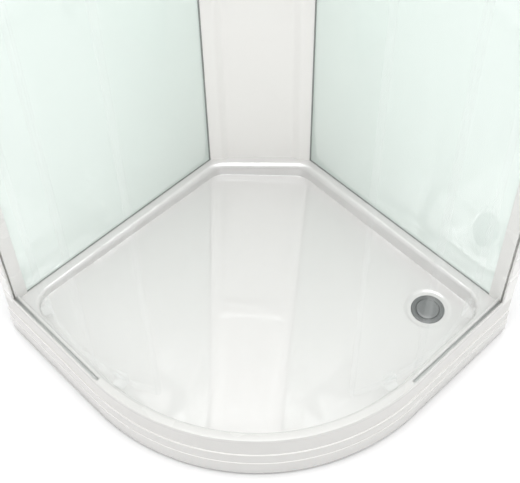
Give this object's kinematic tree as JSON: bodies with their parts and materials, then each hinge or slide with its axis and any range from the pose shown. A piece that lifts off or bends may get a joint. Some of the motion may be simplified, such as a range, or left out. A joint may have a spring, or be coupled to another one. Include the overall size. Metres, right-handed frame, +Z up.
{
  "type": "shower enclosure",
  "caption": "Quadrant corner shower enclosure: low tray with stepped apron, glass walls, white corner column, fixed clear panes and curved sliding doors that part",
  "frame": {"origin": "on the floor under the middle of the footprint", "axes": "+Z up; the room corner is at -X +Y, the rounded front looks towards +X -Y"},
  "size_m": [0.9, 0.9, 2],
  "materials": {
    "acrylic_white": "glossy sanitary acrylic, moulded in one sheet",
    "profile_white": "satin white powder-coated extrusion",
    "panel_white": "satin white moulded panel",
    "wall_glass": "pale green back-coated glass, glossy",
    "clear_glass": "clear toughened glass, polished edges",
    "clear_seal": "clear flexible extrusion",
    "grey_seal": "grey sealing bead",
    "chrome": "polished",
    "grey_satin": "satin dark grey",
    "nylon": "moulded nylon",
    "zinc_steel": "zinc-plated steel",
    "grey_plastic": "moulded waste parts",
    "rubber": "moulded rubber"
  },
  "bodies": {
    "enclosure": {"apron_clips": "zinc_steel", "apron_panel": "acrylic_white", "bottom_rail": "profile_white", "column_cap": "panel_white", "corner_column": "panel_white", "foot_pads": "rubber", "foot_studs": "zinc_steel", "frame_pads": "rubber", "left_fixed_pane": "clear_glass", "left_front_post": "profile_white", "left_pane_seal": "clear_seal", "left_post_cap": "panel_white", "left_top_trim": "profile_white", "left_wall_gasket": "grey_seal", "left_wall_panel": "wall_glass", "lock_nuts": "zinc_steel", "rail_stops": "nylon", "right_fixed_pane": "clear_glass", "right_front_post": "profile_white", "right_pane_seal": "clear_seal", "right_post_cap": "panel_white", "right_top_trim": "profile_white", "right_wall_gasket": "grey_seal", "right_wall_panel": "wall_glass", "sill_bead": "grey_seal", "top_rail": "profile_white", "trap_insert": "grey_plastic", "tray_frame": "zinc_steel", "tray_shell": "acrylic_white", "waste_flange": "grey_satin", "waste_gasket": "rubber", "waste_trap": "grey_plastic"},
    "right_door": {"right_door_glass": "clear_glass", "right_magnet_seal": "clear_seal", "right_tail_seal": "clear_seal", "right_foot_seal": "clear_seal", "right_door_hangers": "chrome", "right_hanger_clamps": "chrome", "right_door_guides": "clear_seal", "right_door_handle": "chrome"},
    "left_door": {"left_door_glass": "clear_glass", "left_magnet_seal": "clear_seal", "left_tail_seal": "clear_seal", "left_foot_seal": "clear_seal", "left_door_hangers": "chrome", "left_hanger_clamps": "chrome", "left_door_guides": "clear_seal", "left_door_handle": "chrome"},
    "right_rear_wheel": {"right_rear_roller": "nylon"},
    "right_front_wheel": {"right_front_roller": "nylon"},
    "left_rear_wheel": {"left_rear_roller": "nylon"},
    "left_front_wheel": {"left_front_roller": "nylon"},
    "strainer_cap": {"waste_cap": "grey_satin"}
  },
  "joints": [
    {"name": "right_door_slide", "type": "hinge", "parent": "enclosure", "child": "right_door", "pos_m": [-0.37375, 0.19837, 1], "axis": [0, 0, -1], "range_deg": [0, 17.09]},
    {"name": "left_door_slide", "type": "hinge", "parent": "enclosure", "child": "left_door", "pos_m": [-0.19837, 0.37375, 1], "axis": [0, 0, 1], "range_deg": [0, 17.09]},
    {"name": "right_rear_roller_spin", "type": "hinge", "parent": "right_door", "child": "right_rear_wheel", "pos_m": [0.4215, 0.34, 1.9778], "axis": [0.9558, 0.2939, 0], "range_deg": [-10, 1600]},
    {"name": "right_front_roller_spin", "type": "hinge", "parent": "right_door", "child": "right_front_wheel", "pos_m": [0.42458, 0.04002, 1.9778], "axis": [0.9617, -0.2742, 0], "range_deg": [-10, 1600]},
    {"name": "left_rear_roller_spin", "type": "hinge", "parent": "left_door", "child": "left_rear_wheel", "pos_m": [-0.34, -0.4215, 1.9778], "axis": [0.2939, 0.9558, 0], "range_deg": [-10, 1600]},
    {"name": "left_front_roller_spin", "type": "hinge", "parent": "left_door", "child": "left_front_wheel", "pos_m": [-0.04002, -0.42458, 1.9778], "axis": [-0.2742, 0.9617, 0], "range_deg": [-10, 1600]},
    {"name": "waste_cap_lift", "type": "slide", "parent": "enclosure", "child": "strainer_cap", "axis": [0, 0, 1], "range_m": [0, 0.035]}
  ],
  "couplings": [
    {"joint": "right_rear_roller_spin", "follows": "right_door_slide", "ratio": 89.752},
    {"joint": "right_front_roller_spin", "follows": "right_door_slide", "ratio": 90.432},
    {"joint": "left_rear_roller_spin", "follows": "left_door_slide", "ratio": 89.752},
    {"joint": "left_front_roller_spin", "follows": "left_door_slide", "ratio": 90.432}
  ]
}
